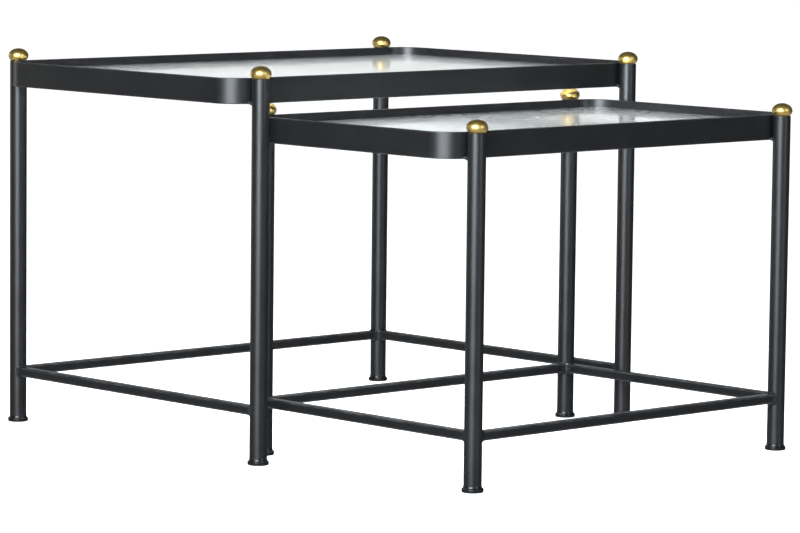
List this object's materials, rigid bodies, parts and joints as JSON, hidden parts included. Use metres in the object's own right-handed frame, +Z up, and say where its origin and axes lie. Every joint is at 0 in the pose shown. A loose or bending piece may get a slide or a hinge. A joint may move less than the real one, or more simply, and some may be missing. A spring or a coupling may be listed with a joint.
{
  "type": "nesting tables",
  "caption": "Nesting side tables: round tube legs with ball finials, flat-bar rims that frame recessed glass tops, square stretchers; the small table slides out from under the large one.",
  "frame": {"origin": "on the floor, at the middle of the pair's bounding box with the small table pulled out as stored; the large table's centre is 159 mm behind it", "axes": "+Z up, +Y towards the back: the small table is pulled out towards -Y, +X to the right of someone who stands in front of the open side of the large table"},
  "size_m": [0.718, 0.8264, 0.491],
  "materials": {
    "black_powder_coat": "satin",
    "polished_brass": "polished",
    "frosted_glass": "polished",
    "black_plastic": "satin",
    "clear_silicone": "soft matte",
    "zinc_steel": "machined"
  },
  "bodies": {
    "large_table": {"large_rim": "black_powder_coat", "large_glass": "frosted_glass", "large_bumpers": "clear_silicone", "large_leg_plugs": "zinc_steel", "large_leg_front_left": "black_powder_coat", "large_foot_front_left": "black_plastic", "large_ball_front_left": "polished_brass", "large_leg_front_right": "black_powder_coat", "large_foot_front_right": "black_plastic", "large_ball_front_right": "polished_brass", "large_leg_rear_right": "black_powder_coat", "large_foot_rear_right": "black_plastic", "large_ball_rear_right": "polished_brass", "large_leg_rear_left": "black_powder_coat", "large_foot_rear_left": "black_plastic", "large_ball_rear_left": "polished_brass", "large_ledge_front": "black_powder_coat", "large_ledge_rear": "black_powder_coat", "large_ledge_left": "black_powder_coat", "large_ledge_right": "black_powder_coat", "large_stretcher_rear": "black_powder_coat", "large_stretcher_left": "black_powder_coat", "large_stretcher_right": "black_powder_coat"},
    "small_table": {"small_rim": "black_powder_coat", "small_glass": "frosted_glass", "small_bumpers": "clear_silicone", "small_leg_plugs": "zinc_steel", "small_leg_front_left": "black_powder_coat", "small_foot_front_left": "black_plastic", "small_ball_front_left": "polished_brass", "small_leg_front_right": "black_powder_coat", "small_foot_front_right": "black_plastic", "small_ball_front_right": "polished_brass", "small_leg_rear_right": "black_powder_coat", "small_foot_rear_right": "black_plastic", "small_ball_rear_right": "polished_brass", "small_leg_rear_left": "black_powder_coat", "small_foot_rear_left": "black_plastic", "small_ball_rear_left": "polished_brass", "small_ledge_front": "black_powder_coat", "small_ledge_rear": "black_powder_coat", "small_ledge_left": "black_powder_coat", "small_ledge_right": "black_powder_coat", "small_stretcher_front": "black_powder_coat", "small_stretcher_rear": "black_powder_coat", "small_stretcher_left": "black_powder_coat", "small_stretcher_right": "black_powder_coat"}
  },
  "joints": [
    {"name": "small_table_slide", "type": "slide", "parent": "large_table", "child": "small_table", "axis": [0, 1, 0], "range_m": [-0.1, 0.406]}
  ]
}
